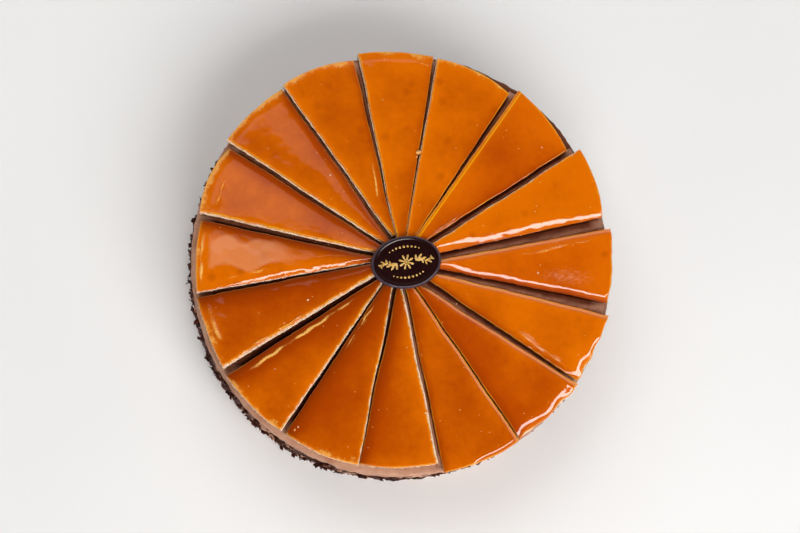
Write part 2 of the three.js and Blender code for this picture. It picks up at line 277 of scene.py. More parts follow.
class Look:
    # one material on a Principled BSDF
    def __init__(self, name, **fixed):
        self.material = bpy.data.materials.new(name)
        self.material.use_nodes = True
        self.tree = self.material.node_tree
        self.tree.nodes.clear()
        self.shader = self.tree.nodes.new("ShaderNodeBsdfPrincipled")
        output = self.tree.nodes.new("ShaderNodeOutputMaterial")
        self.tree.links.new(self.shader.outputs["BSDF"], output.inputs["Surface"])
        for key, value in fixed.items():
            self.shader.inputs[key].default_value = value
        self.place = self.node("ShaderNodeTexCoord", {}, {}, "Object")

    def feed(self, socket, value):
        if isinstance(value, Flow):
            self.tree.links.new(value.socket, socket)
        else:
            socket.default_value = value

    def node(self, kind, settings, sockets, output=0):
        made = self.tree.nodes.new(kind)
        for key, value in settings.items():
            setattr(made, key, value)
        for key, value in sockets.items():
            self.feed(made.inputs[key], value)
        return Flow(self, made.outputs[output])

    def noise(self, size, detail=2.0, rough=0.5, place=None):
        # clouds about `size` mm across
        return self.node("ShaderNodeTexNoise", {}, {
            "Vector": place or self.place, "Scale": 1 / (size * mm), "Detail": detail,
            "Roughness": rough})

    def cells(self, size):
        # the distance from points strewn about `size` mm apart, as a share of that size
        return self.node("ShaderNodeTexVoronoi", {},
                         {"Vector": self.place, "Scale": 1 / (size * mm)}, "Distance")

    def stretched(self, x, y, z):
        return self.node("ShaderNodeMapping", {}, {"Vector": self.place, "Scale": (x, y, z)})

    def combined(self, x, y):
        return self.node("ShaderNodeCombineXYZ", {}, {"X": x, "Y": y})

    def attribute(self, name):
        return self.node("ShaderNodeAttribute", {"attribute_name": name}, {}, "Fac")

    def bump(self, height, depth, strength, under=None):
        # relief `depth` mm deep, laid over the relief `under`
        sockets = {"Height": height, "Distance": depth * mm, "Strength": strength}
        if under:
            sockets["Normal"] = under
        return self.node("ShaderNodeBump", {}, sockets)

    def finish(self, **varying):
        for key, value in varying.items():
            self.feed(self.shader.inputs[key.replace("_", " ")], value)
        return self.material


def tint(red, green, blue):
    # a colour picked on screen, 0..255, as the linear colour that shaders use
    screen = np.array([red, green, blue]) / 255
    linear = np.where(screen <= 0.04045, screen / 12.92, ((screen + 0.055) / 1.055) ** 2.4)
    return (*linear.tolist(), 1.0)


cream = {
    "colour": tint(206, 160, 134),
    "shade": tint(176, 124, 98),
    "paintedRimShade": tint(112, 62, 42),  # painted shade: the upper rim darker on its shaded side, around the bearing below
    "paintedRimShadeToward": 45,
    # painted light and shade in the cuts: beside the raised edge and in the crevice, in dim cuts
    # and in lit ones
    "slope": (tint(158, 88, 54), tint(198, 136, 104)),
    "crevice": (tint(40, 13, 4), tint(102, 48, 26)),
    # how much light reaches each cut, in the order of the fan
    "lit": (0.6, 0.8, 0.9, 1, 1, 0.9, 1.5, 1.8, 0.3, 0, 0, 0, 0.1, 0.1, 0.3, 0.5),
    "streakDepth": 0.35, "dabDepth": 0.16, "topDepth": 0.15,
    "rimRounding": 3.0, "footRounding": 2.0, "topDip": 0.15,
    "around": 720,
    "bead": {"stations": 150, "around": 15, "from": 12.0, "rimGap": 2.6, "sunk": 0.6},
}


def creamLook():
    # two browns clouded by wide noise, streaked where the palette knife went round; in the
    # cuts painted shade darkens it, most of all in the crevice beside the lower slice, painted
    # light lifts it beside the raised edge and in lit cuts, and it is grainy; painted shade darkens
    # the upper rim on its shaded side
    look = Look("chocolateButtercream", **{"Subsurface Weight": 0.08, "Subsurface Scale": 0.003,
                                           "Specular IOR Level": 0.1})
    clouds = look.noise(14, 4, 0.6)
    streaks = look.noise(6, 4, 0.6, look.stretched(0.25, 0.25, 2.2))
    grain = look.noise(0.7, 3, 0.7)
    colour = (clouds * 0.6 + streaks * 0.4).step(0.35, 0.68).paint(cream["shade"], cream["colour"])
    # painted light and shade in the cuts: darkest in the crevice, lighter on the slope beside the
    # raised edge and in lit cuts
    slope = (look.attribute("across") + 0.5 * (clouds - 0.5)).step(0.35, 0.9)
    lit = look.attribute("lit")
    within = slope.paint(lit.paint(*cream["crevice"]), lit.paint(*cream["slope"]))
    within = (grain.step(0.5, 0.7) * 0.45).paint(within, tint(70, 32, 18))
    # painted shade: the upper rim darker on its shaded side
    colour = look.attribute("paintedRimShade").paint(colour, cream["paintedRimShade"])
    colour = look.attribute("within").paint(colour, within)
    colour = look.cells(2.6).step(0.16, 0.05).paint(colour, tint(112, 66, 44))
    relief = look.bump(streaks, 0.5, 0.6)
    relief = look.bump(grain, 0.12, 0.7, relief)
    return look.finish(Base_Color=colour, Roughness=0.42 + 0.25 * clouds, Normal=relief)


def torteBody():
    # a profile of (radius, height) carried once round, pushed out by the swells, by long
    # knife strokes round the side and by small dabs
    radius, height = torte["radius"], torte["height"]
    rim, foot = cream["rimRounding"], cream["footRounding"]
    top = height - cream["topDip"]
    arc = np.linspace(0, math.pi / 2, 9)
    profile = np.concatenate([
        [[0.0, 0.0], [radius * 0.6, 0.0]],
        np.stack([radius - foot + foot * np.sin(arc), foot - foot * np.cos(arc)], -1),
        np.stack([np.full(44, radius), np.linspace(foot + 0.8, height - rim - 0.8, 44)], -1),
        np.stack([radius - rim + rim * np.cos(arc), height - rim + rim * np.sin(arc)], -1),
        np.stack([np.linspace(radius - rim - 1.2, 20, 46), np.full(46, top)], -1),
        [[0.0, top]],
    ])
    bearing = np.linspace(0, 360, cream["around"], endpoint=False)
    outward = ahead(bearing)
    r, z = profile[:, :1], profile[:, 1:]
    flat = np.stack([r * outward[:, 0], r * outward[:, 1], z + 0 * r * outward[:, 0]], -1)
    onSide = np.clip((r - radius + 8) / 8, 0, 1) * np.clip(z / 4, 0, 1)
    strokes = ripple(flat * np.array([0.25, 0.25, 2.2]), 10, 41) * cream["streakDepth"]
    dabs = ripple(flat, 6, 42) * cream["dabDepth"]
    push = swell(bearing) * r / radius + (strokes + dabs) * onSide
    points = flat.copy()
    points[..., :2] += push[..., None] * outward
    rimTop = (z > height - 1.5) & (r > 112)
    points[..., 2] += rimTop * cream["topDepth"] * ripple(flat, 7, 43)
    # painted shade on the upper rim, strongest around its shaded bearing
    aside = np.cos(np.radians(bearing - cream["paintedRimShadeToward"]))
    rings = points[1:-1]
    paintedRimShade = np.clip(aside, 0, 1) * np.clip((rings[..., 2] - height + 14) / 8, 0, 1)
    newPiece("torteCream", np.concatenate([rings.reshape(-1, 3), points[0, :1], points[-1, :1]]),
             shellFaces(*rings.shape[:2]), creamMaterial, ["torte_body"], 180,
             {"paintedRimShade": np.append(paintedRimShade.ravel(), [0, 0])})


def creamBead(number):
    # in a cut, a rough bead of cream: a rounded section carried along the cut's line, its height
    # and crest wandering by noise
    bearing, miss, hub, rim = fan["cuts"][number]
    bead, lit = cream["bead"], cream["lit"][number]
    stations, around = bead["stations"], bead["around"]
    distance = np.linspace(bead["from"], torte["radius"] - bead["rimGap"], stations)
    gap = hub + (rim - hub) * distance / torte["radius"]
    half = np.maximum(gap / 2 + 0.25, 0.3)
    turn = np.linspace(0, math.pi, around)
    x = np.cos(turn) * half[:, None]
    low = np.clip((torte["radius"] - 2 - distance) / 6, 0, 1)
    crest = np.interp(gap, [0.4, 2, 8], [0.5, 1.6, 2.4]) * (0.35 + 0.65 * low) * (1 + lit)
    # highest against the raised edge
    skew = 0.55 + 0.2 * lit + (0.45 - 0.2 * lit) * np.cos(turn - 0.5)
    lift = np.sin(turn) ** 0.6 * crest[:, None] * skew
    line = ahead(bearing) * distance[:, None, None]
    place = line + ahead(bearing + 90) * (miss + x)[..., None]
    rough = np.concatenate([place, lift[..., None]], -1)
    lift *= 1 + (0.28 - 0.2 * lit) * ripple(rough, 7, 50 + number)
    lift += (0.14 - 0.06 * lit) * ripple(rough, 1.6, 90)
    lift[:, [0, -1]] = -bead["sunk"]
    z = torte["height"] - 0.1 + lift
    points = np.concatenate([place, z[..., None]], -1).reshape(-1, 3)
    ends = np.arange(around) + np.array([[0], [(stations - 1) * around]])
    within = np.clip((torte["radius"] - 5 - distance) / 7, 0, 1)[:, None]
    marks = {"across": (1 + np.cos(turn)) / 2 + 0 * z, "within": within + 0 * z, "lit": lit + 0 * z}
    return (points, [gridFaces(stations, around, closed=True), ends]), marks


def creamInCuts():
    parts, marks = zip(*[creamBead(number) for number in range(sliceCount)])
    points, faces = joined(parts)
    newPiece("creamInCuts", points, faces, creamMaterial, ["torte_body"], 180,
             {key: np.concatenate([mark[key] for mark in marks]) for key in marks[0]})


creamMaterial = creamLook()
torteBody()
creamInCuts()
print("buttercream spread")


shavings = {
    "seed": 2026,
    "count": 280,
    "length": (7, 12), "width": (3, 5.2),
    "twist": (-0.25, 0.25), "taper": (0.25, 0.8), "swing": (-75, 75), "tilt": (3, 22),
    "lowest": 3.5, "highest": 31, "floorGap": 0.4,
    "thickness": (0.9, 0.55),  # of the big and the fine ones
    # between the big ones, many fine ones
    "fineCount": 1050,
    "fine": {"length": (4, 9), "width": (2.2, 4.8), "twist": (-0.5, 0.5), "taper": (0.1, 0.8),
             "swing": (-60, 60), "tilt": (4, 42), "bearing": (0, 360)},
    # the side where they stick out less: where, over how wide a stretch, how far the big and
    # the fine ones sink in, and how much of their tilt the fine ones lose
    "flatToward": 122, "flatSpread": 62, "sunk": (1.2, -0.3), "flattened": 0.92,
    "colour": tint(58, 26, 18),
    "edge": tint(100, 50, 34),
}


def repeatable(seed):
    # numbers from 0 to 1, each worked out from the last
    state = seed
    while True:
        state = (state * 1664525 + 1013904223) % 4294967296
        yield state / 4294967296


def shavingLook():
    look = Look("shavedChocolate", **{"Specular IOR Level": 0.3})
    clouds = look.noise(4, 3, 0.6)
    lines = look.noise(1.1, 2, 0.5, look.stretched(1, 1, 3))
    colour = clouds.step(0.35, 0.7).paint(shavings["colour"], shavings["edge"])
    relief = look.bump(lines, 0.15, 0.6)
    return look.finish(Base_Color=colour, Roughness=0.4 + 0.3 * clouds, Normal=relief)


def bigShavings():
    # the same draws as the solids': length, width, twist, taper, swing, tilt, bearing, height
    draw = repeatable(shavings["seed"])
    rows = []
    for number in range(shavings["count"]):
        spans = [shavings[key] for key in ("length", "width", "twist", "taper", "swing", "tilt")]
        values = [low + (high - low) * next(draw) for low, high in spans]
        bearing = (number + 0.6 * next(draw)) * 360 / shavings["count"]
        level = (number * 0.6180339887 + 0.15 * next(draw)) % 1
        height = shavings["lowest"] + (shavings["highest"] - shavings["lowest"]) * level ** 1.25
        rows.append([*values, bearing, height])
    return np.array(rows)


def chocolateShavings():
    # each is a plate over (u along, v across) that narrows to u = 1, twists and curls, stood on
    # the side with its wide end sunk in the cream
    big = bigShavings()
    random = np.random.default_rng(7)
    count = shavings["fineCount"]
    fine = [random.uniform(low, high, count) for low, high in shavings["fine"].values()]
    fine.append(2.2 + 33 * random.uniform(0, 1, count) ** 1.15)
    draws = np.concatenate([big, np.stack(fine, -1)])
    length, width, twist, taper, swing, tilt, bearing, height = draws.T[:, :, None]
    isBig = (np.arange(len(draws)) < len(big))[:, None]
    flatness = np.exp(-((bearing - shavings["flatToward"]) / shavings["flatSpread"]) ** 4)
    tilt = np.where(isBig, tilt, tilt * (1 - shavings["flattened"] * flatness))
    thickness = np.where(isBig, *shavings["thickness"])
    sunk = np.where(isBig, *shavings["sunk"]) * flatness
    curl = random.uniform(-0.9, 1.5, (len(draws), 1))
    rows, columns = 6, 3
    u, v = np.meshgrid(np.linspace(0, 1, rows), np.linspace(-0.5, 0.5, columns), indexing="ij")
    u, v = u.ravel(), v.ravel()
    ragged = random.uniform(-0.5, 0.5, (len(draws), len(u)))
    x = (u - 0.5 + 0.18) * length + ragged * 0.8
    y = v * width * (1 - (1 - taper) * u) + ragged * 0.3
    bend = curl * (4 * u * (1 - u) - u) + twist * u * y + 0.25 * (v * 2) ** 2
    half = thickness / 2 * (1 - 0.75 * u * u)
    x, y = np.tile(x, 2), np.tile(y, 2)
    z = np.tile(bend + thickness / 2, 2) + np.concatenate([half, -half], 1)
    lean, turn = np.radians(-tilt), np.radians(90 + swing)
    x, z = x * np.cos(lean) + z * np.sin(lean), -x * np.sin(lean) + z * np.cos(lean)
    x, y = x * np.cos(turn) - y * np.sin(turn), x * np.sin(turn) + y * np.cos(turn)
    outward = ahead(bearing)
    sideways = -ahead(bearing + 90)
    away = torte["radius"] + swell(bearing) - 0.8 - sunk + z
    flat = away[..., None] * outward + x[..., None] * sideways
    up = height + y
    up += np.maximum(0, shavings["floorGap"] - up.min(1, keepdims=True))
    points = np.concatenate([flat, up[..., None]], -1)
    upper = gridFaces(rows, columns)
    loop = border(rows, columns)
    after, below = np.roll(loop, -1), rows * columns
    wall = np.stack([loop, after, after + below, loop + below], -1)
    plate = np.concatenate([upper, upper[:, ::-1] + below, wall])
    faces = plate + (np.arange(len(draws)) * 2 * below)[:, None, None]
    newPiece("chocolateShavings", points.reshape(-1, 3), [faces.reshape(-1, 4)],
             shavingLook(), ["torte_body"], 40, turned=True)


chocolateShavings()
print("shavings pressed on")


sponge = {
    "thickness": 5.0,
    "length": 110.0,  # of a slice, roughly
    "colour": tint(255, 230, 204),
    "crumb": tint(240, 192, 146),
    "smear": tint(140, 84, 54),
    "porosity": 0.3, "grain": 0.05,
    "crumbled": 0.25,  # mm that is gone from its upper edges
    "rows": 112, "columns": 44, "steps": 7,
}


def spongeLook():
    # pale crumb, darker in its pores; the knife has smeared cream down its walls, but little of
    # it on the rim
    look = Look("spongeCrumb", **{"Subsurface Weight": 0.1, "Subsurface Scale": 0.002})
    pores = look.cells(1.3)
    fine = look.noise(0.5, 3, 0.7)
    clouds = look.noise(7, 3, 0.6)
    colour = clouds.step(0.3, 0.7).paint(sponge["colour"], tint(255, 226, 192))
    colour = (pores + fine * 0.3).step(0.42, 0.18).paint(colour, sponge["crumb"])
    smear = look.attribute("depth") + 0.5 * (look.noise(3, 3, 0.6) - 0.5)
    smear = smear.step(0.05, 0.3) * (1 - look.attribute("rim") * 0.7)
    colour = smear.paint(colour, sponge["smear"])
    relief = look.bump(pores, 0.5, 0.8)
    relief = look.bump(fine, 0.25, 0.8, relief)
    return look.finish(Base_Color=colour, Roughness=0.85, Normal=relief)


def slab(kind, number, look, flat, height, foot, steps, push, marks, smooth):
    # a closed slab over a (reach, share) grid of places: its top at `height`, walls that run down
    # to `foot` in so many steps, moved outward by push(depth, ring), and one face below
    rows, columns = height.shape
    crown = np.concatenate([stray(flat), height[..., None]], -1).reshape(-1, 3)
    loop = border(rows, columns)
    edge, foot = crown[loop], (foot + 0 * height).ravel()[loop]
    run = np.roll(edge, -1, 0) - np.roll(edge, 1, 0)
    outward = np.stack([-run[:, 1], run[:, 0]], -1)
    outward /= np.linalg.norm(outward, axis=1, keepdims=True)
    if ((edge[:, :2] - edge[:, :2].mean(0)) * outward).sum() < 0:
        outward = -outward
    depths = np.linspace(0, 1, steps + 1)[1:]
    rings = []
    for depth in depths:
        ring = edge.copy()
        ring[:, 2] += (foot - edge[:, 2]) * depth
        ring[:, :2] += outward * push(depth, ring)[:, None]
        rings.append(ring)
    # the walls are a closed grid of the loop itself and the rings under it
    size, start = len(loop), len(crown)
    index = np.concatenate([loop[None], start + np.arange(size * steps).reshape(-1, size)])
    after = np.roll(index, -1, 1)
    wall = np.stack([index[:-1], after[:-1], after[1:], index[1:]], -1).reshape(-1, 4)
    attributes = {key: np.append(values.ravel(), np.tile(values.ravel()[loop], steps))
                  for key, values in marks.items()}
    attributes["depth"] = np.append(np.zeros(start), np.repeat(depths, size))
    newPiece(f"{kind}{number:02d}", np.concatenate([crown, *rings]),
             [gridFaces(rows, columns), wall, index[-1:]], look,
             [f"{kind}_{number:02d}"], smooth, attributes)


def spongeSlice(number, look):
    # bed + thickness, crumbled along its edges and pitted down its walls
    plan = SlicePlan(number)
    shares, reaches = np.meshgrid(np.linspace(0, 1, sponge["columns"]),
                                  np.linspace(0, 1, sponge["rows"]))
    flat = plan.point(shares, reaches)
    edge = np.minimum(shares, 1 - shares) * plan.width(shares, reaches)
    edge = np.minimum(edge, (1 - reaches) * sponge["length"])
    height = (torte["height"] + sponge["thickness"] + plan.rise(flat)
              - sponge["crumbled"] * np.clip(1 - edge, 0, 1)
              + sponge["grain"] * ripple(flat, 1.5, 61))

    def push(depth, ring):
        pores = ripple(ring, 1.5, 62) * sponge["porosity"]
        return pores * min(1, 3 * depth) * (depth < 1) - 0.1

    slab("sponge", number, look, flat, height, torte["height"] + 0.02, sponge["steps"], push,
         {"rim": (reaches > 0.99) * 1.0}, 60)


spongeMaterial = spongeLook()
for number in range(1, sliceCount + 1):
    spongeSlice(number, spongeMaterial)
print("sponge layers cut")


caramel = {
    "thickness": 2.1, "thinnest": 0.15,
    "gap": 0.1,
    # distances from an edge at which the mesh has lines, and how many lines lie between
    "offsets": [0, 0.04, 0.12, 0.25, 0.42, 0.65, 0.95, 1.3, 1.7, 2.1, 2.5, 2.9, 3.4, 3.9, 4.5,
                5.1, 5.8, 6.5],
    "rows": 150, "columns": 18, "steps": 3,
    # kinds of edge: "bowl" falls ever steeper and "step" is level again at the very edge; then
    # how far in the fall starts, how deep it goes, and the most of the width that it takes
    "sharp": ("bowl", 1.2, 0.1, 0.3),
    "eased": ("bowl", 7.0, 0.6, 0.3),
    "slumped": ("bowl", 5.0, 0.5, 0.35),
    "narrow": ("bowl", 2.6, 0.45, 0.4),
    "round": ("bowl", 4.0, 1.0, 0.4),
    "shouldered": ("step", 3.4, 1.1, 0.4),
    "rolled": ("bowl", 6.5, 1.75, 0.8),
    "broad": ("bowl", 11.0, 1.9, 0.8),
    "swept": ("bowl", 8.0, 1.9, 0.8),
    "bent": ("bowl", 9.8, 1.35, 0.8),
    "deepestFall": 1.9,
    "lip": (0.4, 0.25),  # the last little rounding, in and down
    "swollen": 0.12,  # mm that the walls bulge
    "light": tint(234, 115, 0),
    "dark": tint(180, 68, 0),
    "red": tint(214, 82, 4),
    "edge": tint(242, 160, 14),
    "frost": tint(246, 176, 72),
    # painted shade beside the low edge
    "paintedLowEdgeShade": tint(96, 34, 0),
    # painted glint colour
    "shine": tint(255, 192, 96),
    # colour of painted reflections and sheens
    "sheen": tint(246, 164, 112),
    # a slice as it is unless `slices` says otherwise
    "plain": {
        "tone": 0.0, "blush": 0.0,  # lighter and redder than the rest; the tone is partly the slice's own colour and partly painted light, mostly higher in the east and lower in the south-west
        "counter": "sharp", "clockwise": "slumped", "rim": "sharp",
        "taper": 0.15,  # how much narrower the clockwise fall gets from tip to rim
        # where along an edge its fall grows in, as shares of the rim or of the length
        "rimFade": (-1, 0), "counterFade": (-1, 0), "clockwiseFade": (-1, 0),
        "paintedHighlightLine": 0.0,  # how far inside the raised edge a thin yellow painted highlight line runs
        "reveal": 0.3,  # of sponge at the raised edge
        "overhang": 0.45,  # of caramel at the lower edge
        "shade": (1.6, 3.2),  # painted shade: how dark the lower edge is, and how far in
        "crown": (0.5, 0.0),  # share from which the whole slice bows down, and by how much
        "tilt": 0.0, "wave": 0.03, "drip": 0.0, "bulge": 0.0, "frost": 0.0,
        "pale": (),  # first share, last share, first reach and last reach of a paler area with a painted warm reflection
        "wrinkles": [], "wornSheenPatches": [],
    },
    "slices": {
        1: {"tone": 0.15, "clockwise": "sharp", "rim": "eased", "shade": (0.6, 2.5),
            "reveal": 0.45, "frost": 0.8,
            "wrinkles": [("rim", (5, 7), (0.8, 0.98), 0.15, 0.6, 0.5)]},
        2: {"tone": 0.6, "clockwise": "sharp", "shade": (0.7, 2.5), "reveal": 0.45,
            "frost": 0.7},
        3: {"tone": 0.15, "blush": 0.4, "counter": "narrow", "clockwise": "sharp", "paintedHighlightLine": 1.9,
            "reveal": -0.1, "shade": (1.0, 3), "frost": 0.3,
            "wrinkles": [("clockwise", (1.6, 1.8), (0.05, 0.35), 0.3, 0.6, 0.2)]},
        4: {"tone": 1.5, "clockwise": "broad", "taper": 0.4, "clockwiseFade": (1.45, 0.55),
            "reveal": 0.5, "overhang": 0.15,
            "shade": (0.6, 1.6), "frost": 0.4, "wornSheenPatches": [(0.85, 0.3, 0.25, 0.3, 0.4)]},
        5: {"tone": 0.9, "blush": 0.5, "counter": "shouldered", "clockwise": "rolled",
            "rim": "narrow", "reveal": -0.1, "shade": (1.8, 1.8), "bulge": 0.2,
            "wrinkles": [("counter", (6.5, 4.5), (0.45, 0.97), 0.3, 0.6, 0.5)],
            "wornSheenPatches": [(0.7, 0.76, 0.25, 0.26, 0.6)]},
        6: {"tone": 0.7, "counter": "shouldered", "clockwise": "narrow", "rim": "bent",
            "rimFade": (0.2, 0.55), "reveal": -0.1, "shade": (1.2, 2.5), "drip": 0.16,
            "bulge": 0.4, "frost": 0.3,
            "wrinkles": [("clockwise", (4.5, 3.0), (0.55, 0.97), 0.3, 0.6, 0.4)],
            "wornSheenPatches": [(0.83, 0.66, 0.08, 0.07, 0.8), (0.9, 0.75, 0.05, 0.06, 0.7),
                       (0.88, 0.85, 0.06, 0.04, 0.7)]},
        7: {"tone": -0.7, "blush": 0.2, "counter": "shouldered", "clockwise": "sharp",
            "rim": "bent", "reveal": -0.1, "shade": (1.2, 4), "wave": 0.06, "drip": 0.1,
            "bulge": 0.4, "frost": 0.3},
        8: {"tone": -0.4, "counter": "shouldered", "clockwise": "sharp", "rim": "round",
            "rimFade": (0.75, 0.45), "reveal": -0.1, "shade": (1.2, 3)},
        9: {"tone": -0.6, "reveal": 1.2, "shade": (2.0, 4.5), "frost": 0.4},
        10: {"tone": -0.95, "reveal": 0.6, "shade": (2.4, 6), "frost": 0.65,
             "wrinkles": [("clockwise", (1.6, 2.0), (0.15, 0.5), 0.25, 0.4, 0.8),
                          ("clockwise", (2.8, 3.6), (0.25, 0.5), 0.2, 0.4, 0.5)]},
        11: {"tone": -0.9, "reveal": 0.9, "shade": (2.5, 6), "frost": 0.75,
             "wrinkles": [("clockwise", (2.6, 4.6), (0.16, 0.98), 0.3, 0.75, 1.0)]},
        12: {"tone": -0.75, "rim": "eased", "reveal": 1.3, "shade": (2.8, 6), "wave": 0.09,
             "crown": (0.4, 0.3), "frost": 0.7,
             "wrinkles": [("counter", (1.2, 1.2), (0.45, 0.9), 0.3, 0.5, 0.3),
                          ("rim", (5.4, 4.4), (0.3, 0.9), 0.35, 1.3, 0.8)]},
        13: {"tone": 1.1, "counter": "swept", "counterFade": (1.0, 0.72), "rim": "eased",
             "reveal": 0.5, "shade": (2.6, 5), "wave": 0.1, "crown": (0.3, 0.75), "frost": 0.7,
             "wrinkles": [("rim", (3.0, 2.8), (0.08, 0.95), 0.4, 0.7, 1.1),
                          ("counter", (6, 5), (0.6, 0.84), 0.08, 0.8, 0.6)],
             "pale": (0.28, 0.85, 0.4, 0.94)},
        14: {"tone": -0.2, "rim": "eased", "reveal": 0.75, "shade": (2.2, 4),
             "crown": (0.0, 0.4), "tilt": 0.02, "frost": 1.1,
             "wrinkles": [("rim", (9.5, 9.5), (0.1, 0.6), 0.12, 0.7, 0.5)]},
        15: {"tone": -0.15, "rim": "eased", "reveal": 0.65, "crown": (0.45, 0.85),
             "frost": 1.0},
        16: {"tone": 0.2, "clockwise": "sharp", "reveal": 0.5, "shade": (1.1, 2.5),
             "wave": 0.02, "tilt": -0.02, "frost": 1.1,
             "wrinkles": [("clockwise", (4.5, 3.5), (0.12, 0.45), 0.15, 0.6, 0.6)]},
    },
}


def caramelLook():
    # amber clouded from dark to light, lighter toward the rim, painted light on the raised edge,
    # painted shade along the low edge, yellow where it thins out, crumbly and pale along some rims,
    # with a few small bubbles and painted glints, sheens and a warm reflection; the gloss is broken
    # by faint waves and, in places, by scuffs along the slice that also carry a painted sheen
    look = Look("caramelGlaze")
    clouds = look.noise(38, 3, 0.5)
    # each slice's tone: partly its own colour, partly painted light
    shade = (clouds - 0.5) * 1.5 + look.attribute("tone") * 0.32 + 0.5
    # painted light on the raised edge, a lighter rim where the glaze thins, painted shade on the
    # low edge
    shade = shade + look.attribute("paintedLightAndShade") * 0.5 + (look.noise(4, 4, 0.7) - 0.5) * 0.5
    colour = shade.step(-0.15, 1.15).paint(caramel["dark"], caramel["light"])
    colour = (look.attribute("blush") * 0.5).paint(colour, caramel["red"])
    freckles = look.cells(13).step(0.3, 0.05) * look.noise(24, 2).step(0.42, 0.6) * 0.4
    colour = freckles.paint(colour, caramel["dark"])
    thin = look.attribute("thinness") * (0.1 + 1.3 * look.noise(15, 3))
    colour = thin.step(0.25, 1.0).paint(colour, caramel["edge"])
    patches = look.noise(9, 3) * 2 + look.noise(1.8, 3, 0.7) * 1.2
    frost = (look.attribute("frost") * 0.9 + patches - 2.1).step(0.0, 0.5)
    colour = (frost * 0.75).paint(colour, caramel["frost"])
    # painted shade in a band beside the low edge
    colour = look.attribute("paintedLowEdgeShade").paint(colour, caramel["paintedLowEdgeShade"])
    # painted warm reflection over the paler area
    colour = (look.attribute("pale") * 0.45).paint(colour, caramel["sheen"])
    # painted reflection: a pinkish line inside shouldered raised edges
    colour = look.attribute("sheen").paint(colour, caramel["sheen"])
    # painted glints along the wrinkles
    glint = look.attribute("shine") * (look.noise(1.1, 4, 0.8) * 3.6 - 0.85)
    colour = glint.step(0.1, 0.9).paint(colour, caramel["shine"])
    bubbles = look.cells(6.5).step(0.07, 0.04)
    colour = (bubbles * 0.5).paint(colour, tint(250, 200, 130))
    relief = look.bump(look.noise(16, 2, 0.5), 0.25, 0.3)
    relief = look.bump(look.noise(2.2, 2, 0.5), 0.03, 0.4, relief)
    streaks = look.noise(1.1, 3, 0.7, look.combined(look.attribute("along") * 0.35,
                                                    look.attribute("aside")))
    # worn, rougher gloss along the slice, with a painted sheen over it
    wornSheenPatches = (look.attribute("wornSheen") + streaks - 0.9).step(0.0, 0.4)
    colour = (wornSheenPatches * 0.3).paint(colour, caramel["sheen"])
    dull = (look.attribute("dull") * 1.6 + look.noise(3, 2) * 0.8 - 0.7).step(0.05, 0.5)
    roughness = 0.02 + 0.06 * look.noise(5, 3) + 0.5 * dull + 0.4 * wornSheenPatches + 0.3 * frost
    return look.finish(Base_Color=colour, Roughness=roughness, Normal=relief)


def edgeFall(kind, away, wide, tapered=1.0):
    # with t running 0..1 from where the fall starts to the edge: depth * t^2 for a bowl and
    # depth * (3 t^2 - 2 t^3) for a step
    style, inward, depth, most = kind
    t = np.clip(1 - away / np.minimum(inward * tapered, most * wide), 0, 1)
    return depth * t * t * (1 if style == "bowl" else 3 - 2 * t)


def grown(along, start, end):
    # 0 up to start, 1 past end and smooth between; falls where end is the smaller
    t = np.clip((along - start) / (end - start), 0, 1)
    return t * t * (3 - 2 * t)


class GlazeGrid:
    # a slice's glaze from above: each vertex's share, reach and place, and its distances from
    # the raised edge (left), the low edge (right) and the rim
    def __init__(self, number, own):
        plan = SlicePlan(number, own["reveal"], -own["overhang"])
        offsets = np.array(caramel["offsets"])
        self.length = float(plan.distance(0.5, 1) - plan.distance(0.5, 0))
        reach = np.append(np.linspace(0, 1 - offsets[-1] / self.length, caramel["rows"])[:-1],
                          1 - offsets[::-1] / self.length)
        width = plan.width(np.full(len(reach), 0.5), reach)
        squeeze = np.minimum(1, width / (2 * offsets[-1] + 2))
        near = offsets * (squeeze / width)[:, None]
        between = np.linspace(near[:, -1], 1 - near[:, -1], caramel["columns"])[1:-1].T
        share = np.concatenate([near, between, 1 - near[:, ::-1]], 1)
        reach = np.broadcast_to(reach[:, None], share.shape)
        self.wide = plan.width(share, reach)
        self.left, self.right = share * self.wide, (1 - share) * self.wide
        self.rim = (1 - reach) * self.length
        self.nearest = np.minimum(np.minimum(self.left, self.right), self.rim)
        # only now is the raised edge made ragged and does the rim bulge
        along = np.stack([reach * self.length, 0 * share + 50 * number], -1)
        ragged = 0.18 * ripple(along, 4, 76) + 0.22 * ripple(along, 1.5, 77)
        ragged *= max(own["reveal"], 0) ** 0.5 * np.exp(-self.left / 1.2)
        self.share = share + ragged / self.wide
        bulge = own["bulge"] * ripple((self.share * 45)[..., None], 15, 74 + number)
        self.reach = reach + bulge * np.exp(-self.rim / 4) / self.length
        self.flat = plan.point(self.share, self.reach)
        self.bed = (torte["height"] + sponge["thickness"] + caramel["gap"]
                    + plan.rise(self.flat))


